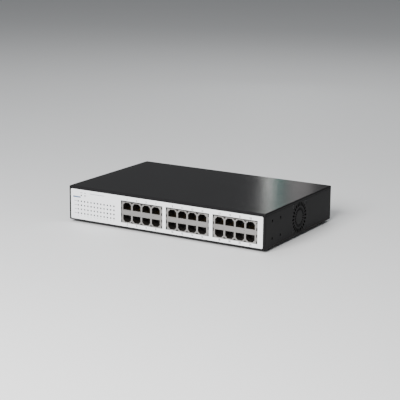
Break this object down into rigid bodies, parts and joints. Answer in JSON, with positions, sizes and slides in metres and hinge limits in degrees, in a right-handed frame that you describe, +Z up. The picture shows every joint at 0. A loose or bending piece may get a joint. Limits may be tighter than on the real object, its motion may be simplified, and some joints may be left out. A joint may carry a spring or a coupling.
{
  "type": "network switch",
  "caption": "Low steel-cased network switch with two rows of modular sockets in shielded blocks, status windows, a side fan grille and a rear mains inlet.",
  "frame": {"origin": "bottom centre of the bounding box, on the plane of the rubber feet", "axes": "+X to the viewer's right when facing the sockets, +Y from the sockets to the rear, +Z up"},
  "size_m": [0.28, 0.183, 0.047],
  "materials": {
    "black_plastic": "moulded",
    "case_paint": "satin powder coat",
    "capacitor_sleeve": "shrink sleeve",
    "wire_sleeve": "PVC sleeve",
    "brass": "turned",
    "magnet": "ferrite",
    "black_screw": "black zinc",
    "steel": "plated",
    "copper": "enamelled winding",
    "panel_white": "semi-gloss printed film",
    "aluminium": "extruded",
    "insulating_film": "polyester film",
    "light_guide_plastic": "clear moulding",
    "board_green": "solder mask",
    "contact_gold": "gold plated contacts",
    "shield_metal": "plated, dull",
    "transformer_tape": "taped winding",
    "label_paper": "blank label",
    "rubber": "matte"
  },
  "bodies": {
    "chassis": {"ac_inlet": "black_plastic", "base_tray": "case_paint", "bulk_capacitor": "capacitor_sleeve", "dc_lead": "wire_sleeve", "fan_bearing": "brass", "fan_frame": "black_plastic", "fan_lead": "wire_sleeve", "fan_screw_1": "black_screw", "fan_screw_2": "black_screw", "fan_screw_3": "black_screw", "fan_screw_4": "black_screw", "fan_stator": "copper", "front_overlay": "panel_white", "front_plate": "case_paint", "ground_screw": "steel", "heat_sink": "aluminium", "inlet_pin_earth": "steel", "inlet_pin_line": "steel", "inlet_pin_neutral": "steel", "inlet_screw_1": "black_screw", "inlet_screw_2": "black_screw", "insulation_sheet": "insulating_film", "lid": "case_paint", "lid_screw_1": "black_screw", "lid_screw_2": "black_screw", "lid_screw_3": "black_screw", "light_guide": "light_guide_plastic", "magnetics_1": "black_plastic", "magnetics_2": "black_plastic", "magnetics_3": "black_plastic", "magnetics_4": "black_plastic", "magnetics_5": "black_plastic", "magnetics_6": "black_plastic", "main_board": "board_green", "mains_lead": "wire_sleeve", "phy_chip_1": "black_plastic", "phy_chip_2": "black_plastic", "phy_chip_3": "black_plastic", "port_contacts_1": "contact_gold", "port_contacts_2": "contact_gold", "port_contacts_3": "contact_gold", "port_housing_1": "black_plastic", "port_housing_2": "black_plastic", "port_housing_3": "black_plastic", "port_shield_1": "shield_metal", "port_shield_2": "shield_metal", "port_shield_3": "shield_metal", "power_board": "board_green", "power_heat_sink": "aluminium", "power_transformer": "transformer_tape", "rating_label": "label_paper", "rubber_foot_1": "rubber", "rubber_foot_2": "rubber", "rubber_foot_3": "rubber", "rubber_foot_4": "rubber", "switch_chip": "black_plastic"},
    "fan_rotor": {"fan_rotor": "black_plastic", "fan_magnet_ring": "magnet", "fan_shaft": "steel"}
  },
  "joints": [
    {"name": "fan_spin", "type": "hinge", "parent": "chassis", "child": "fan_rotor", "pos_m": [0.1287, -0.002, 0.0245], "axis": [1, 0, 0], "continuous": true}
  ]
}
